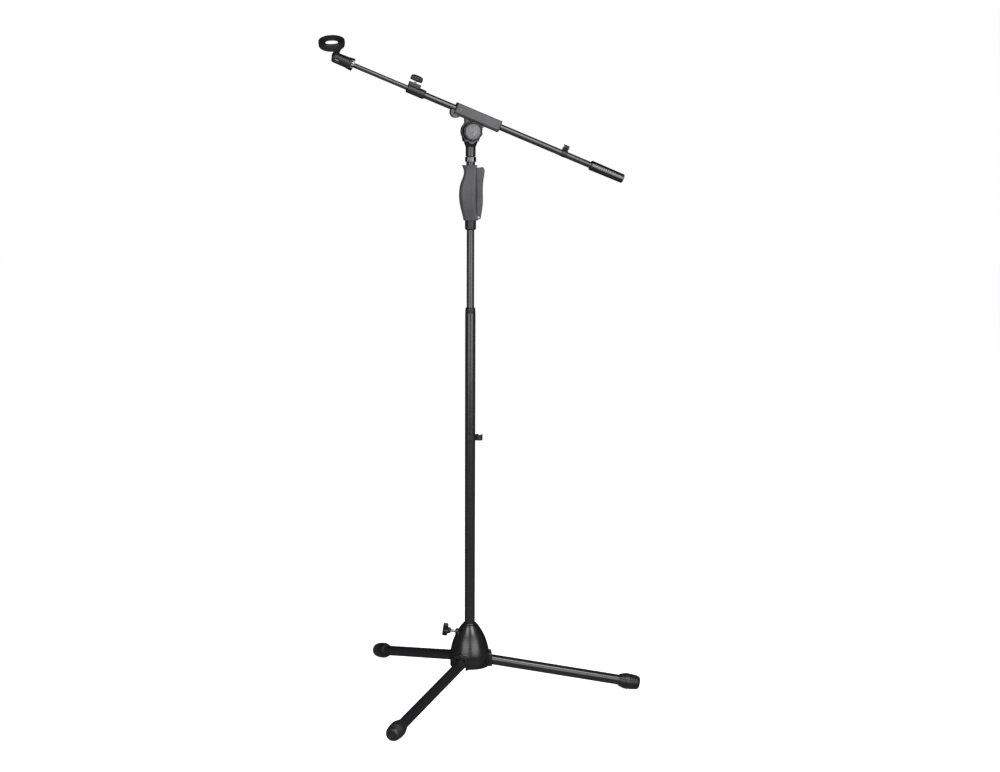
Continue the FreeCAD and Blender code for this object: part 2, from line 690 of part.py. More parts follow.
def clamp_body():
    """The boom's clamp: a bevelled bar over a round toothed lug, with a pinch boss under its front end."""
    bar = move(bevelled_bar(CLAMP_FRONT, CLAMP_REAR), 0, 0, BOOM_W)
    lug = cross_rod(LUG_R, 0, 0, -LUG_HALF, LUG_HALF)
    tooth = cross_rod(0.55, LUG_R, 0, -LUG_HALF - 1, LUG_HALF + 1)
    lug = lug.cut(around(tooth, LUG_TEETH, Y_AXIS))
    neck = plate([(-17, 8), (17, 8), (24, BOOM_W - 8), (-24, BOOM_W - 8)], -LUG_HALF, LUG_HALF)
    pinch = cross_rod(PINCH_R, PINCH_U, PINCH_W, -8, 8)
    bore = Part.makeCylinder(BOOM_R + 0.85, 200, vector(-100, 0, BOOM_W), X_AXIS)
    seats = (CLAMP_FRONT - 50, CLAMP_REAR - 10)
    ends = [Part.makeCylinder(9, 60, vector(u, 0, BOOM_W), X_AXIS) for u in seats]
    cuts = [bore] + ends + [
        cross_rod(BOLT_R + FIT, 0, 0, -30, 30),
        cross_rod(2.5, PINCH_U, PINCH_BOLT_W, -9, 9),
        cross_rod(4.6, PINCH_U, PINCH_BOLT_W, -9, -6),
        cross_rod(4.6, PINCH_U, PINCH_BOLT_W, 6, 9),
        cross_rod(3.0, SET_SCREW_U, BOOM_W + 1, -12, 0),
        cross_rod(3.8, SET_SCREW_U, BOOM_W + 1, -12, -10.2),
    ]
    return fused(bar, lug, neck, pinch).cut(cuts)


def pinch_bolt():
    shank = cross_rod(2.5, PINCH_U, PINCH_BOLT_W, -7, 8)
    head = cross_rod(4.3, PINCH_U, PINCH_BOLT_W, -8.6, -6)
    nut = move(hexagon(3.9, 6, 8.4), PINCH_U, 0, PINCH_BOLT_W)
    nut = nut.cut(cross_rod(2.5, PINCH_U, PINCH_BOLT_W, 5, 9))
    socket = move(hexagon(1.8, -9, -7.2), PINCH_U, 0, PINCH_BOLT_W)
    return Part.makeCompound([fused(shank, head).cut(socket), nut])


def boom_set_screw():
    z = BOOM_W + 1
    body = cross_rod(3.0, SET_SCREW_U, z, -10.2, -9.05)
    head = cross_rod(3.5, SET_SCREW_U, z, -11.0, -10.2)
    slot = box(SET_SCREW_U - 4, SET_SCREW_U + 4, -11.5, -10.5, z - 0.4, z + 0.4)
    return fused(body, head).cut(slot)


def clamp_bush(front):
    """A plastic end bush with a lip that covers the clamp's end."""
    bore = BOOM_R + FIT
    if front:
        seat, lip = CLAMP_FRONT, CLAMP_FRONT - CLAMP_END_LIP
        sleeve = along_x(ring(9.0, bore, seat, seat + 10))
    else:
        seat, lip = CLAMP_REAR, CLAMP_REAR + CLAMP_END_LIP
        sleeve = along_x(ring(9.0, bore, seat - 10, seat))
    cover = bevelled_bar(min(seat, lip), max(seat, lip), 0.5)
    pinch_clear = cross_rod(PINCH_R + 0.1, PINCH_U, PINCH_W - BOOM_W, -8.9, 8.9)
    cover = cover.cut([pinch_clear, Part.makeCylinder(bore, 300, vector(-150, 0, 0), X_AXIS)])
    return fused(sleeve, cover)


def boom_tube():
    tube = along_x(ring(BOOM_R, BOOM_R - BOOM_WALL, BOOM_FRONT, BOOM_REAR))
    return tube.cut(rod_up(2.6, LOCK_SCREW_U, 0, 12))


def rod_up(radius, u, w0, w1):
    return Part.makeCylinder(radius, w1 - w0, vector(u, 0, w0), Z_AXIS)


def boom_front_bush():
    bore, inner = FRONT_TUBE_R + FIT, BOOM_R - BOOM_WALL
    flange = LOCK_COLLAR_FRONT + 2
    bush = along_x(turned([(bore, flange), (BOOM_R, flange), (BOOM_R, BOOM_FRONT), (inner, BOOM_FRONT),
                           (inner, BOOM_FRONT + 28), (bore, BOOM_FRONT + 28)]))
    return bush.cut(rod_up(2.6, LOCK_SCREW_U, 0, 12))


def lock_collar():
    """The clamp collar at the boom tube's front end, with a screw boss on top."""
    front, rear, outer, inner = LOCK_COLLAR_FRONT, LOCK_COLLAR_REAR, LOCK_COLLAR_R, FRONT_TUBE_R + 0.3
    sleeve = along_x(turned([(inner, front), (outer - 0.7, front), (outer, front + 0.7), (outer, rear - 0.7),
                             (outer - 0.7, rear), (BOOM_R, rear), (BOOM_R, front + 2), (inner, front + 2)]))
    boss = box(front - 0.5, -132, -6, 6, 7.5, 15)
    vertical = [e for e in boss.Edges if e.BoundBox.ZLength > 5]
    boss = boss.makeFillet(2.0, vertical)
    return fused(sleeve, boss).cut(rod_up(2.5 + FIT, LOCK_SCREW_U, 0, 20))


def lock_screw():
    return rod_up(2.5, LOCK_SCREW_U, FRONT_TUBE_R + 0.15, 27)


def lock_knob():
    """A round knurled thumb knob with a slightly domed top."""
    low, high, radius = 19.0, 31.5, 13.0
    body = turned([(0, low), (5, low), (5, low + 0.8), (radius - 1.2, low + 0.8), (radius, low + 2.2),
                   (radius, high - 3.4), (radius - 1.4, high - 1.2), (7, high), (0, high)])
    groove = Part.makeCylinder(0.9, 20, vector(radius + 0.35, 0, low), Z_AXIS)
    body = body.cut(around(groove, 26) + [rod(2.5, low - 1, 27)])
    return move(body, LOCK_SCREW_U, 0, 0)


def counterweight():
    start_r, end_r = 10.5, 9.7
    return along_x(turned([(BOOM_R, WEIGHT_START), (start_r - 0.8, WEIGHT_START),
                           (start_r, WEIGHT_START + 0.8), (end_r, WEIGHT_END - 1), (end_r - 1, WEIGHT_END),
                           (0, WEIGHT_END), (0, BOOM_REAR), (BOOM_R, BOOM_REAR)]))


def front_tube():
    return along_x(ring(FRONT_TUBE_R, FRONT_TUBE_R - FRONT_TUBE_WALL, FRONT_TUBE_FRONT, FRONT_TUBE_REAR))


def front_tube_glide():
    """A plastic ring on the front tube's hidden end that rides inside the boom tube."""
    spigot = FRONT_TUBE_R - FRONT_TUBE_WALL
    head = BOOM_R - BOOM_WALL - 0.1
    u = FRONT_TUBE_REAR
    return along_x(turned([(2.5, u - 10), (spigot, u - 10), (spigot, u), (head, u), (head, u + 8),
                           (2.5, u + 8)]))


def front_stud():
    spigot = FRONT_TUBE_R - FRONT_TUBE_WALL
    u = FRONT_TUBE_FRONT
    return along_x(turned([(0, u - 21), (THREAD_R - 1, u - 21), (THREAD_R, u - 20), (THREAD_R, u),
                           (spigot, u), (spigot, u + 20), (0, u + 20)]))


def front_lock_ring():
    return along_x(notched_ring(12.9, -284.0, -277.5, 1.4, 12))


# ---- Microphone clip ----

def clip_yoke():
    """A threaded body that ends in two rounded ears, along the boom, about the clip's hinge."""
    rear = -284.4 - CLIP_HINGE_U
    slot_end = 11.0
    body = along_x(turned([(9.3, rear), (11.8, rear), (12.5, rear - 0.7), (12.5, rear - 4), (11.6, rear - 5),
                           (YOKE_R, slot_end - 1), (YOKE_R, -YOKE_R), (0, -YOKE_R), (0, rear - 16),
                           (9.3, rear - 16)]))
    side = fused(cross_rod(YOKE_R, 0, 0, -20, 20), box(0, 40, -20, 20, -20, 20))
    slot = box(-20, slot_end, -YOKE_SLOT_HALF, YOKE_SLOT_HALF, -20, 20)
    cuts = [slot, cross_rod(2.5, 0, 0, -20, 20), cross_rod(4.6, 0, 0, -20, -8.0),
            cross_rod(4.6, 0, 0, 8.0, 20)]
    return body.common(side).cut(cuts)


def yoke_insert():
    rear = -284.4 - CLIP_HINGE_U
    return along_x(ring(9.3, THREAD_BORE_R, rear - 16, rear))


def clip_hinge_screw():
    shank = cross_rod(2.5, 0, 0, -8.0, 9.6)
    head = cross_rod(4.3, 0, 0, -9.6, -8.0)
    slot = box(-5, 5, -10, -8.9, -0.5, 0.5)
    return fused(shank, head).cut(slot)


def clip_hinge_nut():
    return hexagon(3.9, 8.0, 9.8).cut(cross_rod(2.5, 0, 0, 7, 11))


def mic_clip():
    """A thick ring with a dished rim and a thin inner lip, on a flared stem with a round tongue."""
    tongue_half = YOKE_SLOT_HALF - 0.4
    z = CLIP_RIM_Z
    lip = z - CLIP_LIP_DEPTH
    near_depth, far_depth = 15.6, 10.2
    holder = turned([(CLIP_HOLE_R, lip), (CLIP_HOLE_R, lip - CLIP_LIP), (19.0, z - 7.2), (20.6, z - 9.6),
                     (21.6, z - near_depth), (24.2, z - near_depth), (26.2, z - 12.5),
                     (CLIP_RING_R, z - 6.5), (26.6, z - 0.8), (25.8, z), (20.6, z)])
    holder = move(holder, CLIP_RING_X, 0, 0)
    reach = 30.0
    low_side = vector(0, -reach, z - near_depth - 0.6)
    high_side = vector(0, reach, z - far_depth + 0.6)
    below = [low_side, high_side, vector(0, reach, 0), vector(0, -reach, 0), low_side]
    below = Part.Face(Part.makePolygon(below)).extrude(vector(4 * reach, 0, 0))
    holder = holder.cut(move(below, -2 * reach, 0, 0))
    tongue = cross_rod(10.4, 0, 0, -tongue_half, tongue_half)
    post = box(-6.0, 6.0, -tongue_half, tongue_half, 0, 16)
    side_web = Part.makeLoft([stem_wire(13.5, -1.0, 6.0, -tongue_half, tongue_half),
                              stem_wire(22.0, 0.5, 9.0, -8.0, 8.0),
                              stem_wire(z - 6.6, 4.6, 13.0, -13.0, 13.0)], True, False)
    near_web = Part.makeLoft([stem_wire(13.5, -6.0, 6.0, -tongue_half, tongue_half),
                              stem_wire(22.0, -9.5, 9.0, -12.0, -1.0),
                              stem_wire(z - 8.0, -12.5, 12.0, -20.0, -14.0)], True, False)
    clip = fused(tongue, post, side_web, near_web, holder)
    hole = move(rod(CLIP_HOLE_R, lip - 3, z + 5), CLIP_RING_X, 0, 0)
    return clip.cut([hole, cross_rod(2.5 + FIT, 0, 0, -20, 20)])


def stem_wire(z, left, right, near, far):
    points = [vector(left, near, z), vector(right, near, z), vector(right, far, z), vector(left, far, z)]
    return Part.makePolygon(points + points[:1])


# ---- Cable clips ----

def cable_clip(tube_r, length, hook_r, reach, mouth_side):
    """A snap-on C band round a tube, with a smaller open hook for the cable at its side, along Z."""
    wall = 1.8
    inner = tube_r + 0.08
    band = ring(inner + wall, inner, 0, length)
    mouth = box(-30, -tube_r * 0.55, -tube_r * 0.72, tube_r * 0.72, -1, length + 1)
    hook_x = reach - hook_r
    hook = move(ring(hook_r, hook_r - wall, 0, length), hook_x, 0, 0)
    bridge = box(inner + wall * 0.4, hook_x - hook_r + wall * 0.8, -2.2, 2.2, 0, length)
    opening = box(hook_x - 1, hook_x + hook_r * 0.62, 0, hook_r + 5, -1, length + 1)
    if mouth_side < 0:
        opening = turn(opening, X_AXIS, 180, vector(0, 0, length / 2))
    clear = rod(inner, -1, length + 1)
    return fused(band.cut(mouth), hook.cut(opening), bridge).cut(clear)


def column_cable_clip():
    clip = cable_clip(OUTER_TUBE_R, COLUMN_CLIP_HEIGHT, 7.4, 26.4, 1)
    return move(clip, 0, 0, COLUMN_CLIP_Z - COLUMN_CLIP_HEIGHT / 2)


def boom_cable_clip():
    clip = turn(cable_clip(BOOM_R, BOOM_CLIP_LENGTH, 5.2, BOOM_HOOK_REACH, -1), Z_AXIS, 180)
    return move(along_x(clip), BOOM_CLIP_U - BOOM_CLIP_LENGTH / 2, 0, 0)


def main():
    os.makedirs("parts", exist_ok=True)
    save("base_housing", base_housing())
    save("leg_pivot_pins", leg_pivot_pins())
    save("base_knob", base_knob())
    save("base_knob_screw", base_knob_screw())
    for i in range(LEG_COUNT):
        name = "_" + str(i + 1)
        save("leg_knuckle" + name, on_leg(leg_knuckle(), i))
        save("leg_tube" + name, on_leg(leg_tube(), i))
        save("foot" + name, standing(on_leg(foot(), i)))

    save("outer_tube", ring(OUTER_TUBE_R, OUTER_TUBE_R - TUBE_WALL, OUTER_TUBE_BOTTOM, OUTER_TUBE_TOP))
    save("outer_tube_plug", outer_tube_plug())
    save("guide_bush", guide_bush())
    save("column_cable_clip", column_cable_clip())
    save("inner_tube", inner_tube())
    save("clutch_collet", clutch_collet())
    save("clutch_cone", clutch_cone())
    save("clutch_rod", clutch_rod())
    save("clutch_spring", clutch_spring())
    save("clutch_cross_pin", cross_pin())

    front, back = grip_halves()
    save("grip_front", front)
    save("grip_back", back)
    save("grip_screws", grip_screws())
    save("grip_lever", grip_lever())
    save("lever_pin", lever_pin())
    save("grip_collar", grip_collar())
    save("top_insert", top_insert())
    save("top_lock_ring", top_lock_ring())

    save("head_fork", on_head(head_fork()))
    save("tilt_nut", on_head(tilt_nut()))
    save("friction_washers", on_head(friction_washers()))
    save("tilt_bolt", on_head(tilt_bolt()))
    save("tilt_knob", on_head(tilt_knob()))
    save("tilt_knob_cap", on_head(tilt_knob_cap()))

    save("clamp_body", on_boom(clamp_body()))
    save("pinch_bolt", on_boom(pinch_bolt()))
    save("boom_set_screw", on_boom(boom_set_screw()))
    save("clamp_bush_front", on_boom_axis(clamp_bush(True)))
    save("clamp_bush_rear", on_boom_axis(clamp_bush(False)))
    save("boom_tube", on_boom_axis(boom_tube()))
    save("boom_front_bush", on_boom_axis(boom_front_bush()))
    save("boom_lock_collar", on_boom_axis(lock_collar()))
    save("boom_lock_screw", on_boom_axis(lock_screw()))
    save("boom_lock_knob", on_boom_axis(lock_knob()))
    save("boom_cable_clip", on_boom_axis(boom_cable_clip()))
    save("counterweight", on_boom_axis(counterweight()))
    save("front_tube", on_boom_axis(front_tube()))
    save("front_tube_glide", on_boom_axis(front_tube_glide()))
    save("front_stud", on_boom_axis(front_stud()))
    save("front_lock_ring", on_boom_axis(front_lock_ring()))

    save("clip_yoke", on_yoke(clip_yoke()))
    save("yoke_insert", on_yoke(yoke_insert()))
    save("clip_hinge_screw", on_yoke(clip_hinge_screw()))
    save("clip_hinge_nut", on_yoke(clip_hinge_nut()))
    save("mic_clip", on_clip(mic_clip()))


main()
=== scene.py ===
import json
import math

import bmesh
import bpy
from mathutils import Matrix, Vector


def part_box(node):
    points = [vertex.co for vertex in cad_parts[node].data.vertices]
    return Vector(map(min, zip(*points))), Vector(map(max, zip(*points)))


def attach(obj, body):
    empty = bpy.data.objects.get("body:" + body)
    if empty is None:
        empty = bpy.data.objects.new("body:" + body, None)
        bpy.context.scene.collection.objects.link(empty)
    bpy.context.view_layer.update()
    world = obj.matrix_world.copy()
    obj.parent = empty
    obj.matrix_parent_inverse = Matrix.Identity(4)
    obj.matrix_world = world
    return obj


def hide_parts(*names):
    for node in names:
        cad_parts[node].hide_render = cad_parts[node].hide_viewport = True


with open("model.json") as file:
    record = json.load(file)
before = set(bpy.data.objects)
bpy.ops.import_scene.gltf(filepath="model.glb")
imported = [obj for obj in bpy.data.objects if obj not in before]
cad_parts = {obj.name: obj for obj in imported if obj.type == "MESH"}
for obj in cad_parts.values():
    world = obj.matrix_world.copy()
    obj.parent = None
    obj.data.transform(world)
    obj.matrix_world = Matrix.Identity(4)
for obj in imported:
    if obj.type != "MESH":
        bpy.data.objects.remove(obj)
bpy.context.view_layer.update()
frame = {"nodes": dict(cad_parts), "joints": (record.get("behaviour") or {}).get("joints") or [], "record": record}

# Boom microphone stand. Shapes are made in millimetres in the stand's own local frames, which come from
# the CAD joints, and are then placed in the shared frame in metres.

MM = 0.001
TAU = 2 * math.pi
FULL = 1.0

JOINTS = {joint["name"]: joint for joint in frame["joints"]}
MOUNTS = {mount["name"]: mount for mount in frame["record"]["mounts"]}
NODE_SLOT = {part["node"]: part["material_slot"] for part in frame["record"]["subparts"]}
NODE_BODY = {}
for body_name, members in frame["record"]["behaviour"]["bodies"].items():
    for member in members:
        NODE_BODY[member] = body_name


# ---- Local frames ----

def axis_of(joint):
    return Vector(JOINTS[joint]["axis"]).normalized()


def point_of(joint):
    return Vector(JOINTS[joint]["pos_m"])


def local_frame(origin, x, y):
    """A matrix that takes millimetres in a local frame to metres in the shared frame."""
    z = x.cross(y)
    turned = Matrix((x, y, z)).transposed().to_4x4()
    return Matrix.Translation(origin) @ turned @ Matrix.Scale(MM, 4)


Z_UP = Vector((0, 0, 1))
BOOM_AXIS_OFFSET = 32.0
LEG_SLOPE = math.radians(10.75)

COLUMN = Matrix.Scale(MM, 4)
BOOM = local_frame(point_of("boom_tilt"), axis_of("boom_slide"), axis_of("boom_tilt"))
BOOM_LINE = BOOM @ Matrix.Translation((0, 0, BOOM_AXIS_OFFSET))
HEAD = local_frame(point_of("boom_tilt"), axis_of("boom_tilt").cross(Z_UP), axis_of("boom_tilt"))
YOKE = local_frame(point_of("clip_tilt"), axis_of("boom_slide"), axis_of("clip_tilt"))
CLIP_BORE = Vector(MOUNTS["microphone_ring"]["axis"])
CLIP = local_frame(point_of("clip_tilt"), axis_of("clip_tilt").cross(CLIP_BORE), axis_of("clip_tilt"))
ALONG_X = Matrix.Rotation(math.radians(90), 4, "Y")  # takes a shape turned about z to one about x
TOWARDS_FRONT = Matrix.Rotation(math.radians(90), 4, "X")  # takes +z to -y


def leg_frame(number):
    across = axis_of(f"leg_{number}_fold")
    outward = across.cross(Z_UP)
    down_the_leg = outward * math.cos(LEG_SLOPE) - Z_UP * math.sin(LEG_SLOPE)
    return local_frame(point_of(f"leg_{number}_fold"), down_the_leg, across) @ ALONG_X


def base_screw_frame():
    """z runs outwards along the thumbscrew, from the column's axis, and x is as near to up as it gets."""
    outward = axis_of("base_knob_turn")
    side = outward.cross(Z_UP).normalized()
    up = side.cross(outward)
    foot = point_of("base_knob_turn")
    start = foot - outward * (Vector((foot.x, foot.y, 0)).dot(outward) / (1 - outward.z ** 2))
    turned = Matrix((up, -side, outward)).transposed().to_4x4()
    return Matrix.Translation(start) @ turned @ Matrix.Scale(MM, 4)


# ---- Materials ----

class Look:
    """A procedural material, built up layer by layer in object coordinates."""

    def __init__(self, name, metallic=0.0, specular=0.5, sheen=0.0):
        self.material = bpy.data.materials.new(name)
        self.material.use_nodes = True
        self.tree = self.material.node_tree
        self.shader = self.tree.nodes["Principled BSDF"]
        self.set("Metallic", metallic)
        self.set("Specular IOR Level", specular)
        self.set("Sheen Weight", sheen)
        self.place = self.tree.nodes.new("ShaderNodeTexCoord")
        self.height = None

    def set(self, name, value):
        self.shader.inputs[name].default_value = value

    def new(self, kind, **values):
        node = self.tree.nodes.new(kind)
        for name, value in values.items():
            setattr(node, name, value)
        return node

    def link(self, source, target):
        self.tree.links.new(source, target)

    def pattern(self, kind, size, stretch):
        """A texture node whose features are about size millimetres across, stretched along each axis."""
        mapping = self.new("ShaderNodeMapping")
        mapping.inputs["Scale"].default_value = [1 / (size * MM * s) for s in stretch]
        self.link(self.place.outputs["Object"], mapping.inputs["Vector"])
        texture = self.new(kind)
        texture.inputs["Scale"].default_value = 1.0
        self.link(mapping.outputs["Vector"], texture.inputs["Vector"])
        return texture

    def noise(self, size, detail=3.0, stretch=(1, 1, 1), roughness=0.5):
        noise = self.pattern("ShaderNodeTexNoise", size, stretch)
        noise.inputs["Detail"].default_value = detail
        noise.inputs["Roughness"].default_value = roughness
        return noise.outputs["Fac"]

    def cells(self, size):
        return self.pattern("ShaderNodeTexVoronoi", size, (1, 1, 1)).outputs["Distance"]

    def remap(self, value, low, high, start=0.3, end=0.7):
        """Turn the span from start to end, where most of a noise lies, into the span from low to high."""
        node = self.new("ShaderNodeMapRange")
        node.inputs["From Min"].default_value = start
        node.inputs["From Max"].default_value = end
        node.inputs["To Min"].default_value = low
        node.inputs["To Max"].default_value = high
        self.link(value, node.inputs["Value"])
        return node.outputs["Result"]

    def blend_colours(self, factor, first, second):
        """first and second are colours, or sockets that carry one."""
        mix = self.new("ShaderNodeMix", data_type="RGBA")
        self.link(factor, mix.inputs["Factor"])
        for key, colour in (("A", first), ("B", second)):
            target = [s for s in mix.inputs if s.name == key and s.type == "RGBA"][0]
            if isinstance(colour, tuple):
                target.default_value = (*colour, 1.0)
            else:
                self.link(colour, target)
        return [s for s in mix.outputs if s.type == "RGBA"][0]

    def colour(self, value):
        self.link(value, self.shader.inputs["Base Color"])

    def roughness(self, value):
        self.link(value, self.shader.inputs["Roughness"])

    def relief(self, value, depth):
        """Add bump of about depth millimetres on top of what is there."""
        bump = self.new("ShaderNodeBump")
        bump.inputs["Distance"].default_value = depth * MM
        bump.inputs["Strength"].default_value = FULL
        self.link(value, bump.inputs["Height"])
        if self.height is not None:
            self.link(self.height, bump.inputs["Normal"])
        self.height = bump.outputs["Normal"]
        self.link(self.height, self.shader.inputs["Normal"])

    def worn_edges(self, base, worn, amount=0.5):
        """Lighten ridges a little, where hands and floors rub the finish."""
        geometry = self.new("ShaderNodeNewGeometry")
        edge = self.remap(geometry.outputs["Pointiness"], 0.0, amount, 0.53, 0.62)
        return self.blend_colours(edge, base, worn)


def scaled(colour, factor, lift=0.0):
    return tuple(c * factor + lift for c in colour)


def powder_coat(name, dark, light, rough_low, rough_high, peel, grit, specular=0.5):
    """A paint with a broad change of tone, fine flecks and a slight orange peel, and grit if textured."""
    look = Look(name, specular=specular)
    broad = look.remap(look.noise(38, 4), 0, 1)
    tone = look.blend_colours(broad, dark, light)
    fleck = look.remap(look.noise(0.6, 2), 0, 0.5, 0.5, 0.8)
    flecked = look.blend_colours(fleck, tone, scaled(light, 1.25))
    look.colour(look.worn_edges(flecked, scaled(light, 3, 0.01)))
    look.roughness(look.remap(look.noise(9, 3), rough_low, rough_high))
    look.relief(look.noise(2.6, 2), peel)
    if grit:
        look.relief(look.noise(0.7, 2), grit)
    return look.material


def moulded_plastic(name, dark, light, rough_low, rough_high, grain, depth, specular, sheen=0.0):
    """A plastic with an etched grain, whose cells are about grain millimetres across."""
    look = Look(name, specular=specular, sheen=sheen)
    broad = look.remap(look.noise(25, 4), 0, 1)
    tone = look.blend_colours(broad, dark, light)
    look.colour(look.worn_edges(tone, scaled(light, 2, 0.015), 0.35))
    look.roughness(look.remap(look.noise(6, 4), rough_low, rough_high))
    look.relief(look.cells(grain), depth)
    look.relief(look.noise(grain * 3, 3), depth * 1.5)
    return look.material


def rubber(name):
    """A dark rubber with a little dust in broad patches."""
    look = Look(name, specular=0.5, sheen=0.03)
    dust = look.remap(look.noise(14, 5), 0, 1, 0.4, 0.75)
    tone = look.blend_colours(dust, (0.006, 0.006, 0.0064), (0.013, 0.013, 0.0135))
    look.colour(look.worn_edges(tone, (0.04, 0.039, 0.038), 0.5))
    look.roughness(look.remap(look.noise(5, 4), 0.33, 0.46))
    look.relief(look.noise(0.9, 4), 0.012)
    return look.material


def metal(name, dark, light, rough_low, rough_high, stretch=(1, 1, 1), scratch=0.01, spots=None):
    """A bare or plated metal, with tool marks drawn out along stretch and stains where spots is a colour."""
    look = Look(name, metallic=1.0)
    broad = look.remap(look.noise(12, 4), 0, 1)
    tone = look.blend_colours(broad, dark, light)
    if spots:
        stain = look.remap(look.noise(3, 5), 0, 0.7, 0.55, 0.75)
        tone = look.blend_colours(stain, tone, spots)
    look.colour(tone)
    look.roughness(look.remap(look.noise(1.2, 4, stretch), rough_low, rough_high))
    look.relief(look.noise(0.5, 3, stretch), scratch)
    return look.material


def dark_chrome(name):
    """Black chrome whose edges are worn through to bright metal."""
    look = Look(name, metallic=1.0)
    tone = look.blend_colours(look.remap(look.noise(6, 3), 0, 1), (0.1, 0.1, 0.105), (0.2, 0.2, 0.205))
    look.colour(look.worn_edges(tone, (0.85, 0.85, 0.86), 1.0))
    look.roughness(look.remap(look.noise(1.5, 3), 0.1, 0.2))
    return look.material


def speckled_cap(name):
    """A grey plastic with a coarse mottle."""
    look = Look(name, specular=0.4)
    mottle = look.remap(look.noise(3.2, 4, roughness=0.65), 0, 1, 0.35, 0.65)
    tone = look.blend_colours(mottle, (0.04, 0.04, 0.0425), (0.135, 0.135, 0.141))
    look.colour(look.worn_edges(tone, (0.4, 0.4, 0.4), 0.4))
    look.roughness(look.remap(look.noise(2, 3), 0.42, 0.6))
    look.relief(look.noise(0.8, 3), 0.05)
    return look.material


TUBE_BLACK = powder_coat("tube_powder_coat", (0.0025, 0.0025, 0.0028), (0.0045, 0.0045, 0.005),
                         0.15, 0.17, 0.0008, 0)
CAST_BLACK = powder_coat("cast_powder_coat", (0.0055, 0.0055, 0.006), (0.0105, 0.0105, 0.0113),
                         0.265, 0.285, 0.002, 0.0003, 0.58)
CLAMP_GREY = powder_coat("clamp_textured_coat", (0.018, 0.018, 0.0195), (0.028, 0.028, 0.03),
                         0.38, 0.42, 0.005, 0.007)
LOOKS = {
    "powder_coated_tube": TUBE_BLACK,
    "die_cast": CAST_BLACK,
    "foot_rubber": rubber("boot_rubber"),
    "zinc_steel": metal("zinc_plate", (0.58, 0.58, 0.57), (0.72, 0.72, 0.7), 0.2, 0.36,
                        spots=(0.5, 0.47, 0.4)),
    "aluminium": metal("drawn_aluminium", (0.6, 0.6, 0.61), (0.72, 0.72, 0.73), 0.28, 0.42, (1, 1, 30)),
    "chrome": metal("chrome_plate", (0.72, 0.72, 0.73), (0.86, 0.86, 0.87), 0.06, 0.16, scratch=0.003),
    "black_plastic": moulded_plastic("black_moulded_plastic", (0.006, 0.006, 0.0065),
                                     (0.0105, 0.0105, 0.011), 0.36, 0.4, 0.5, 0.003, 0.32),
    "grey_plastic": speckled_cap("speckled_cap"),
    "grip_plastic": moulded_plastic("soft_touch_grip", (0.0225, 0.022, 0.0245), (0.033, 0.0325, 0.0355),
                                    0.42, 0.52, 0.35, 0.007, 0.45, 0.04),
    "threaded_steel": powder_coat("black_zinc_steel", (0.006, 0.006, 0.0065), (0.011, 0.011, 0.0115),
                                  0.19, 0.22, 0.001, 0),
    "brass": metal("turned_brass", (0.55, 0.42, 0.2), (0.72, 0.56, 0.28), 0.22, 0.38, (1, 1, 12)),
}
INNER_BLACK = powder_coat("upper_tube_gloss", (0.004, 0.004, 0.0044), (0.007, 0.007, 0.0075),
                          0.115, 0.13, 0.0008, 0)
WEIGHT_BLACK = powder_coat("weight_gloss", (0.006, 0.006, 0.0065), (0.01, 0.01, 0.0105),
                           0.17, 0.2, 0.001, 0, 0.95)
EDGE_CHROME = dark_chrome("dark_chrome")
NODE_LOOK = {"clamp_body": CLAMP_GREY, "inner_tube": INNER_BLACK, "counterweight": WEIGHT_BLACK,
             "leg_pivot_pins": LOOKS["threaded_steel"], "boom_lock_collar": LOOKS["black_plastic"],
             "top_lock_ring": EDGE_CHROME, "front_lock_ring": EDGE_CHROME}


def look_of(node):
    return NODE_LOOK.get(node, LOOKS[NODE_SLOT[node]])


# ---- Mesh building ----

def piece_from(mesh, name, nodes, smooth_angle=40):
    """Make an object of a mesh in the shared frame, which stands for CAD nodes and rides on their body."""
    mesh.shade_smooth()
    mesh.set_sharp_from_angle(angle=math.radians(smooth_angle))
    piece = bpy.data.objects.new(name, mesh)
    bpy.context.scene.collection.objects.link(piece)
    mesh.materials.clear()
    mesh.materials.append(look_of(nodes[0]))
    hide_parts(*nodes)
    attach(piece, NODE_BODY[nodes[0]])
    return piece


def rounded(outline, steps=4):
    """An outline of (r, z) or (r, z, fillet) points, with a curve at each corner that has a fillet."""
    result = []
    count = len(outline)
    for i, corner in enumerate(outline):
        here = Vector(corner[:2])
        if len(corner) == 2:
            result.append(here)
            continue
        before = Vector(outline[i - 1][:2]) - here
        after = Vector(outline[(i + 1) % count][:2]) - here
        start = here + before.normalized() * min(corner[2], before.length * 0.49)
        end = here + after.normalized() * min(corner[2], after.length * 0.49)
        for k in range(steps + 1):
            t = k / steps
            result.append(start * (1 - t) ** 2 + here * 2 * t * (1 - t) + end * t ** 2)
    return result


def subdivided(outline, longest):
    """Split the straight runs of an outline so that none is longer than that."""
    result = []
    for i, point in enumerate(outline):
        following = outline[(i + 1) % len(outline)]
        parts = max(1, math.ceil((following - point).length / longest))
        result += [point.lerp(following, k / parts) for k in range(parts)]
    return result


def placed_mesh(bm, name, place):
    """Turn a mesh in progress, in local millimetres, into a finished one in the shared frame."""
    bmesh.ops.recalc_face_normals(bm, faces=bm.faces)
    mesh = bpy.data.meshes.new(name)
    bm.transform(place)
    bm.to_mesh(mesh)
    bm.free()
    return mesh


def ring_of(bm, steps, z, radius_at):
    """Vertices round z, at radius_at(k, angle)."""
    angles = [TAU * k / steps for k in range(steps)]
    radii = [radius_at(k, angle) for k, angle in enumerate(angles)]
    return [bm.verts.new((r * math.cos(a), r * math.sin(a), z)) for r, a in zip(radii, angles)]


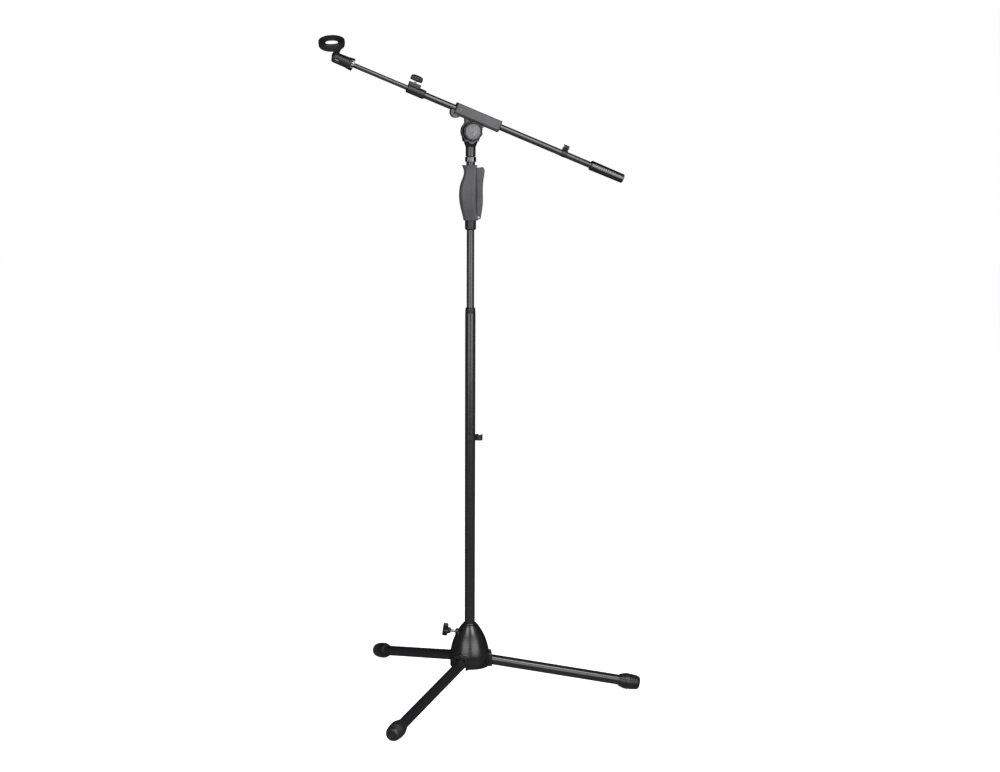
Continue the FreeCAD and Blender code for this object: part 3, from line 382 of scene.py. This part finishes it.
def turned_mesh(outline, place, steps, shape):
    """A solid of revolution about z. shape(angle, r, z) may change the radius, as for flutes and knurls."""
    bm = bmesh.new()
    rings = []
    for r, z in outline:
        if r < 1e-6:
            rings.append([bm.verts.new((0, 0, z))])
        else:
            rings.append(ring_of(bm, steps, z, lambda k, angle: shape(angle, r, z) if shape else r))
    for first, second in zip(rings, rings[1:] + rings[:1]):
        for k in range(steps):
            corners = [first[k % len(first)], first[(k + 1) % len(first)],
                       second[(k + 1) % len(second)], second[k % len(second)]]
            unique = list(dict.fromkeys(corners))
            if len(unique) > 2:
                bm.faces.new(unique)
    return placed_mesh(bm, "turned", place)


def turned_piece(name, nodes, outline, place, steps=96, shape=None, longest=None):
    points = rounded(outline)
    if longest:
        points = subdivided(points, longest)
    return piece_from(turned_mesh(points, place, steps, shape), name, nodes)


def flutes(count, depth, reach, sharpness=1.0):
    """A radius function that scoops count flutes out of what stands further out than reach."""
    def shape(angle, r, z):
        if r < reach:
            return r
        wave = 0.5 + 0.5 * math.cos(count * angle)
        return r - depth * wave ** sharpness * min(1.0, (r - reach) / 2.0)
    return shape


def cast_piece(name, node, voxel, passes, keep):
    """The CAD node's own shape with every edge softened, as a casting or moulding has it."""
    source = frame["nodes"][node]
    bm = bmesh.new()
    bm.from_mesh(source.data)
    bmesh.ops.remove_doubles(bm, verts=bm.verts, dist=1e-6)
    mesh = bpy.data.meshes.new(name)
    bm.to_mesh(mesh)
    bm.free()
    worker = bpy.data.objects.new(name + "_worker", mesh)
    bpy.context.scene.collection.objects.link(worker)
    remesh = worker.modifiers.new("voxels", "REMESH")
    remesh.mode = "VOXEL"
    remesh.voxel_size = voxel * MM
    smooth = worker.modifiers.new("soften", "SMOOTH")
    smooth.factor = 0.5
    smooth.iterations = passes
    thin = worker.modifiers.new("thin", "DECIMATE")
    thin.ratio = keep
    depsgraph = bpy.context.evaluated_depsgraph_get()
    softened = bpy.data.meshes.new_from_object(worker.evaluated_get(depsgraph))
    bpy.data.objects.remove(worker)
    return piece_from(softened, name, [node], 50)


def threaded_rod(name, node, place, radius, low, high, pitch):
    """A rod with a helical thread between low and high, closed at both ends."""
    steps, rows_per_turn = 48, 8
    depth = pitch * 0.55
    rows = int((high - low) / pitch * rows_per_turn)
    bm = bmesh.new()
    rings = []
    for i in range(rows + 1):
        z = low + (high - low) * i / rows
        fade = max(0.15, min(1.0, (z - low) / pitch, (high - z) / pitch))

        def groove_bottom(k, angle):
            phase = (z / pitch - k / steps) % 1.0
            return radius - depth * abs(2 * phase - 1) * fade

        rings.append(ring_of(bm, steps, z, groove_bottom))
    for first, second in zip(rings, rings[1:]):
        for k in range(steps):
            bm.faces.new((first[k], first[(k + 1) % steps], second[(k + 1) % steps], second[k]))
    bm.faces.new(rings[0])
    bm.faces.new(rings[-1])
    return piece_from(placed_mesh(bm, name, place), name, [node], 60)


# ---- Feet ----

def foot_piece(number):
    """A rubber boot: a flared cuff, three raised rings, a stepped nose, and a small flat on the floor."""
    start, length, radius = 300.0, 45.0, 17.2
    end = start + length
    outline = [(11.0, start), (13.2, start, 0.8), (14.2, start + 2.2, 1.2), (14.3, start + 4, 1.5),
               (radius, start + 12.5, 4), (radius, start + 20.5, 1.0)]
    taper = radius
    for i in range(3):
        at = start + 22.6 + 5.2 * i
        outline += [(taper - 0.7, at, 0.4), (taper - 0.7, at + 1.2, 0.4), (taper, at + 2.0, 0.5),
                    (taper - 0.25, at + 4.2, 0.5)]
        taper -= 0.65
    outline += [(13.6, end - 2.4, 1.5), (12.0, end - 0.3, 1.8), (4.4, end, 0.2), (4.0, end - 0.7, 0.2),
                (3.0, end - 0.7, 0.2), (2.7, end - 0.1, 0.2), (0, end - 0.1), (0, start + 29),
                (11.0, start + 29)]
    piece = turned_piece(f"boot_{number}", [f"foot_{number}"], outline, leg_frame(number))
    for vertex in piece.data.vertices:
        vertex.co.z = max(vertex.co.z, 0.0)
    return piece


for leg_number in (1, 2, 3):
    foot_piece(leg_number)


# ---- Base ----

cast_piece("bell_casting", "base_housing", 0.75, 6, 0.4)
cast_piece("star_knob", "base_knob", 0.4, 5, 0.4)
threaded_rod("star_knob_thread", "base_knob_screw", base_screw_frame(), 3.0, 11.8, 52.5, 1.0)


# ---- Column ----

def bush_piece():
    """The flanged plastic bush at the mouth of the outer tube."""
    low, high = (corner.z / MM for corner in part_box("guide_bush"))
    inner, spigot, flange_r, flange_low = 8.06, 9.8, 10.6, high - 11.5
    outline = [(inner, low, 0.3), (spigot, low, 0.5), (spigot, flange_low), (flange_r, flange_low, 0.4),
               (flange_r, high - 2.2, 1.6), (flange_r - 1.9, high, 1.0), (inner, high, 0.4)]
    return turned_piece("column_guide_bush", ["guide_bush"], outline, COLUMN)


def collar_piece():
    """The sleeve under the grip."""
    low, high = (corner.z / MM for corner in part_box("grip_collar"))
    inner, neck, outer, top = 8.0, 9.7, 11.7, high - 0.1
    outline = [(inner, low, 0.3), (neck, low, 0.8), (outer, low + 2.2, 1.2), (outer, top, 0.5), (inner, top)]
    return turned_piece("grip_collar_sleeve", ["grip_collar"], outline, COLUMN)


bush_piece()
collar_piece()
cast_piece("column_clip_moulding", "column_cable_clip", 0.35, 3, 0.5)


# ---- Grip ----

cast_piece("grip_front_shell", "grip_front", 0.7, 6, 0.4)
cast_piece("grip_back_shell", "grip_back", 0.7, 6, 0.4)
cast_piece("squeeze_lever", "grip_lever", 0.6, 5, 0.4)


def lock_ring(name, node, place, outer, low, high, notches):
    """A chrome ring with scooped notches round its rim."""
    outline = [(8.0, low, 0.4), (outer, low, 0.9), (outer, high, 0.9), (8.0, high, 0.4)]
    return turned_piece(name, [node], outline, place, notches * 16, flutes(notches, 0.9, 8.6, 3.0), 1.2)


lock_ring("top_ring_chrome", "top_lock_ring", COLUMN, 11.9, 1138.2, 1148.4, 10)
lock_ring("front_ring_chrome", "front_lock_ring", BOOM_LINE @ ALONG_X, 12.9, -284.0, -277.5, 12)


# ---- Head and clamp ----

cast_piece("fork_casting", "head_fork", 0.5, 3, 0.4)
cast_piece("clamp_casting", "clamp_body", 0.45, 2, 0.35)
cast_piece("clamp_front_lip", "clamp_bush_front", 0.4, 2, 0.4)
cast_piece("clamp_rear_lip", "clamp_bush_rear", 0.4, 2, 0.4)


def tilt_knob_piece():
    """A deep round hand knob with scooped finger flats."""
    near, far, radius = 13.4, 26.5, 20.75
    outline = [(4.0, near), (radius, near, 2.2), (radius, far - 1.0, 4.0), (17.9, far, 0.8),
               (16.5, far - 0.3, 0.3), (16.2, far - 2), (4.0, far - 2)]
    return turned_piece("tilt_hand_knob", ["tilt_knob"], outline, HEAD @ TOWARDS_FRONT, 240,
                        flutes(10, 1.3, 17.5, 2.0), 1.0)


def tilt_cap_piece():
    """The knob's shallow domed cap."""
    base, low, top, rings = 16.0, 24.5, 29.2, 12
    outline = [(0, low), (base, low)]
    for i in range(rings):
        angle = math.radians(90) * i / rings
        outline.append((base * math.cos(angle) ** 0.8, low + 1.0 + (top - low - 1.0) * math.sin(angle)))
    outline.append((0, top))
    return turned_piece("tilt_knob_dome", ["tilt_knob_cap"], outline, HEAD @ TOWARDS_FRONT)


tilt_knob_piece()
tilt_cap_piece()


# ---- Boom ----

cast_piece("lock_collar_casting", "boom_lock_collar", 0.4, 3, 0.4)
cast_piece("boom_clip_moulding", "boom_cable_clip", 0.3, 3, 0.5)

LOCK_SCREW_U = -145.5
LOCK_SCREW_PLACE = BOOM_LINE @ Matrix.Translation((LOCK_SCREW_U, 0, 0))


def lock_knob_piece():
    """A thumb knob with a grooved rim and a gently domed face."""
    low, high, radius = 19.0, 31.5, 13.0
    outline = [(0, low), (5, low, 0.4), (5, low + 0.8), (radius, low + 0.8, 1.4), (radius, high - 2.8, 2.6),
               (8.5, high - 0.3, 2.5), (0, high)]
    return turned_piece("lock_thumb_knob", ["boom_lock_knob"], outline, LOCK_SCREW_PLACE, 208,
                        flutes(26, 0.7, 11.0, 2.0), 1.0)


lock_knob_piece()
threaded_rod("lock_screw_thread", "boom_lock_screw", LOCK_SCREW_PLACE, 2.5, 5.15, 27.0, 0.8)


def counterweight_piece():
    """A tapered weight whose sides are ribbed along their length and cut across, as a coarse knurl."""
    start, end, boom_radius, boom_end = 266.0, 342.5, 6.75, 336.0
    ribs, pitch, depth = 22, 5.2, 0.16
    knurl_start, knurl_end = start + 6, end - 8

    def knurl(angle, r, z):
        if r < 9.0 or not knurl_start < z < knurl_end:
            return r
        rib = (0.5 + 0.5 * math.cos(ribs * angle)) ** 3
        cut = (0.5 + 0.5 * math.cos(TAU * (z - knurl_start) / pitch)) ** 4
        edge = min(1.0, (z - knurl_start) / 2, (knurl_end - z) / 2)
        return r - depth * edge * max(rib, cut)

    outline = [(boom_radius, start), (10.5, start, 1.0), (9.75, end, 1.6), (0, end), (0, boom_end),
               (boom_radius, boom_end)]
    return turned_piece("boom_counterweight", ["counterweight"], outline, BOOM_LINE @ ALONG_X, ribs * 10,
                        knurl, 0.7)


counterweight_piece()


# ---- Microphone clip ----

cast_piece("yoke_moulding", "clip_yoke", 0.4, 3, 0.4)
cast_piece("clip_moulding", "mic_clip", 0.35, 5, 0.3)


# ---- Nodes that keep their CAD shape ----

for node_name, node_object in frame["nodes"].items():
    if not node_object.hide_render:
        node_object.data.materials.clear()
        node_object.data.materials.append(look_of(node_name))
        node_object.data.shade_smooth()
        node_object.data.set_sharp_from_angle(angle=math.radians(35))


# ---- Stage ----

ROOM_STRENGTH = 0.004
EYE = (0.0629, -4.2095, 1.2553)
LENS_MM = 72.51
DOWNWARD_PITCH = 7.94
ROLL = 0.23


def floor():
    """A pale floor that lights itself evenly and doesn't show in the stand's reflections."""
    half = 12.0
    mesh = bpy.data.meshes.new("floor")
    corners = [(-half, -half, 0), (half, -half, 0), (half, half, 0), (-half, half, 0)]
    mesh.from_pydata(corners, [], [(0, 1, 2, 3)])
    plane = bpy.data.objects.new("floor", mesh)
    bpy.context.scene.collection.objects.link(plane)
    look = Look("pale_floor", specular=0.1)
    tone = look.remap(look.noise(900, 3), 0, 1)
    look.colour(look.blend_colours(tone, (0.9, 0.9, 0.9), (0.93, 0.93, 0.93)))
    look.roughness(look.remap(look.noise(200, 3), 0.85, 0.95))
    look.set("Emission Color", (1, 1, 1, 1))
    look.set("Emission Strength", 0.985)
    mesh.materials.append(look.material)
    plane.visible_glossy = False


def soft_box(name, azimuth, elevation, distance, width, height, power):
    """A tall soft light that faces the middle of the stand. Azimuth 0 is at the camera's side."""
    target = Vector((0, 0, 0.72))
    a, e = math.radians(azimuth), math.radians(elevation)
    away = Vector((math.sin(a) * math.cos(e), -math.cos(a) * math.cos(e), math.sin(e)))
    light = bpy.data.lights.new(name, "AREA")
    light.shape = "RECTANGLE"
    light.size, light.size_y = width, height
    light.energy = power
    lamp = bpy.data.objects.new(name, light)
    lamp.location = target + away * distance
    lamp.rotation_euler = (-away).to_track_quat("-Z", "Y").to_euler()
    bpy.context.scene.collection.objects.link(lamp)


def backdrop_world():
    """Even white behind the stand, and a much dimmer room for it to reflect."""
    world = bpy.data.worlds.new("studio")
    bpy.context.scene.world = world
    world.use_nodes = True
    nodes, links = world.node_tree.nodes, world.node_tree.links
    nodes.clear()
    output = nodes.new("ShaderNodeOutputWorld")
    white = nodes.new("ShaderNodeBackground")
    white.inputs["Color"].default_value = (1, 1, 1, 1)
    room = nodes.new("ShaderNodeBackground")
    room.inputs["Color"].default_value = (1, 1, 1, 1)
    room.inputs["Strength"].default_value = ROOM_STRENGTH
    mix = nodes.new("ShaderNodeMixShader")
    path = nodes.new("ShaderNodeLightPath")
    links.new(path.outputs["Is Camera Ray"], mix.inputs["Fac"])
    links.new(room.outputs["Background"], mix.inputs[1])
    links.new(white.outputs["Background"], mix.inputs[2])
    links.new(mix.outputs["Shader"], output.inputs["Surface"])


def camera():
    data = bpy.data.cameras.new("camera")
    data.sensor_width = 36.0
    data.lens = LENS_MM
    eye = bpy.data.objects.new("camera", data)
    eye.location = EYE
    pitch = Matrix.Rotation(math.radians(90 - DOWNWARD_PITCH), 4, "X")
    eye.rotation_euler = (pitch @ Matrix.Rotation(math.radians(ROLL), 4, "Z")).to_euler()
    bpy.context.scene.collection.objects.link(eye)
    bpy.context.scene.camera = eye


floor()
soft_box("left", -25, 7, 3.6, 2.7, 2.0, 62)
soft_box("right", 35, 7, 3.6, 2.9, 2.0, 74)
soft_box("high_left", -27, 40, 2.2, 0.8, 0.8, 19)
soft_box("high_right", 38, 40, 2.2, 1.0, 0.8, 26)
backdrop_world()
camera()
bpy.context.scene.view_settings.view_transform = "Standard"
